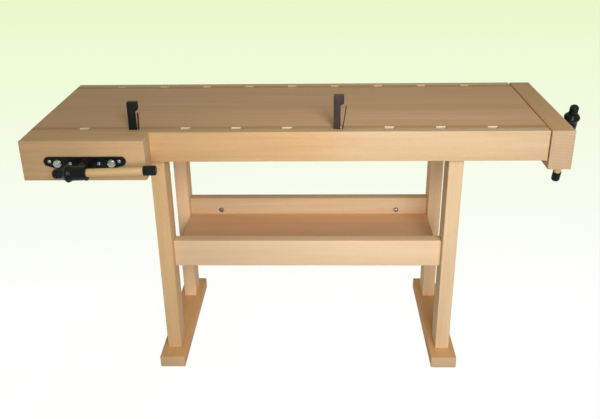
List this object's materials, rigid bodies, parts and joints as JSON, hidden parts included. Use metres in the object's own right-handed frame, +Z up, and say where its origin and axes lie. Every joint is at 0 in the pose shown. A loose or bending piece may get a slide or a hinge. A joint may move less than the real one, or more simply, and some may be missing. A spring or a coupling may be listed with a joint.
{
  "type": "woodworking bench",
  "caption": "Beech joiner's bench with a front vise, an end vise, rows of square dog holes with spring-held dogs, and a tool tray between the trestle's stretchers.",
  "frame": {"origin": "on the floor, under the middle of the box round the whole bench as it stands in the picture", "axes": "+X along the bench towards the end vise, +Y from the front to the back, +Z up"},
  "size_m": [1.796, 0.7534, 0.966],
  "materials": {
    "beech": "sanded and oiled",
    "turned_beech": "turned and varnished",
    "black_iron": "black enamel on cast iron",
    "zinc_steel": "zinc plated",
    "black_plastic": "moulded",
    "dog_iron": "blackened",
    "spring_steel": "blued spring steel"
  },
  "bodies": {
    "bench": {"bench_top": "beech", "front_apron": "beech", "front_dog_strip": "beech", "rear_apron": "beech", "rear_dog_strip": "beech", "end_board": "beech", "left_foot": "beech", "right_foot": "beech", "left_front_leg": "beech", "left_rear_leg": "beech", "right_front_leg": "beech", "right_rear_leg": "beech", "left_top_beam": "beech", "right_top_beam": "beech", "front_stretcher": "beech", "rear_stretcher": "beech", "tray_bottom": "beech", "left_front_bolt": "zinc_steel", "left_rear_bolt": "zinc_steel", "right_front_bolt": "zinc_steel", "right_rear_bolt": "zinc_steel", "left_front_barrel_nut": "zinc_steel", "left_rear_barrel_nut": "zinc_steel", "right_front_barrel_nut": "zinc_steel", "right_rear_barrel_nut": "zinc_steel", "left_top_bolt": "zinc_steel", "right_top_bolt": "zinc_steel", "front_nut_plate": "black_iron", "end_nut_plate": "black_iron"},
    "front_jaw": {"front_jaw": "beech", "front_vise_plate": "black_iron", "front_vise_left_rod": "zinc_steel", "front_vise_right_rod": "zinc_steel", "front_plate_screw_1": "zinc_steel", "front_plate_screw_2": "zinc_steel", "front_plate_screw_3": "zinc_steel", "front_plate_screw_4": "zinc_steel"},
    "front_screw": {"front_vise_screw": "zinc_steel", "front_vise_hub": "black_iron"},
    "front_handle": {"front_handle_bar": "turned_beech", "front_handle_left_cap": "black_plastic", "front_handle_right_cap": "black_plastic"},
    "end_jaw": {"end_jaw": "beech", "end_vise_plate": "black_iron", "end_vise_front_rod": "zinc_steel", "end_vise_rear_rod": "zinc_steel", "end_plate_screw_1": "zinc_steel", "end_plate_screw_2": "zinc_steel", "end_plate_screw_3": "zinc_steel", "end_plate_screw_4": "zinc_steel"},
    "end_screw": {"end_vise_screw": "zinc_steel", "end_vise_hub": "black_iron"},
    "end_handle": {"end_handle_bar": "turned_beech", "end_handle_upper_cap": "black_plastic", "end_handle_lower_cap": "black_plastic"},
    "left_dog": {"left_dog": "dog_iron", "left_dog_spring": "spring_steel"},
    "middle_dog": {"middle_dog": "dog_iron", "middle_dog_spring": "spring_steel"}
  },
  "joints": [
    {"name": "front_jaw_slide", "type": "slide", "parent": "bench", "child": "front_jaw", "axis": [0, -1, 0], "range_m": [0, 0.132]},
    {"name": "front_screw_turn", "type": "hinge", "parent": "front_jaw", "child": "front_screw", "pos_m": [-0.701, -0.27265, 0.788], "axis": [0, -1, 0], "range_deg": [0, 7920]},
    {"name": "front_handle_slide", "type": "slide", "parent": "front_screw", "child": "front_handle", "axis": [-0.9994, 0, -0.0349], "range_m": [0, 0.167]},
    {"name": "end_jaw_slide", "type": "slide", "parent": "bench", "child": "end_jaw", "axis": [1, 0, 0], "range_m": [-0.0042, 0.1278]},
    {"name": "end_screw_turn", "type": "hinge", "parent": "end_jaw", "child": "end_screw", "pos_m": [0.794, 0.09165, 0.788], "axis": [1, 0, 0], "range_deg": [-252, 7668]},
    {"name": "end_handle_slide", "type": "slide", "parent": "end_screw", "child": "end_handle", "axis": [0, -0.2974, 0.9548], "range_m": [0, 0.18]},
    {"name": "left_dog_slide", "type": "slide", "parent": "bench", "child": "left_dog", "axis": [0, 0, 1], "range_m": [-0.0555, 0.048], "deforming": ["left_dog_spring"]},
    {"name": "middle_dog_slide", "type": "slide", "parent": "bench", "child": "middle_dog", "axis": [0, 0, 1], "range_m": [-0.0735, 0.03], "deforming": ["middle_dog_spring"]}
  ],
  "couplings": [
    {"joint": "front_jaw_slide", "follows": "front_screw_turn", "m_per_rad": 0.00095493},
    {"joint": "end_jaw_slide", "follows": "end_screw_turn", "m_per_rad": 0.00095493}
  ]
}
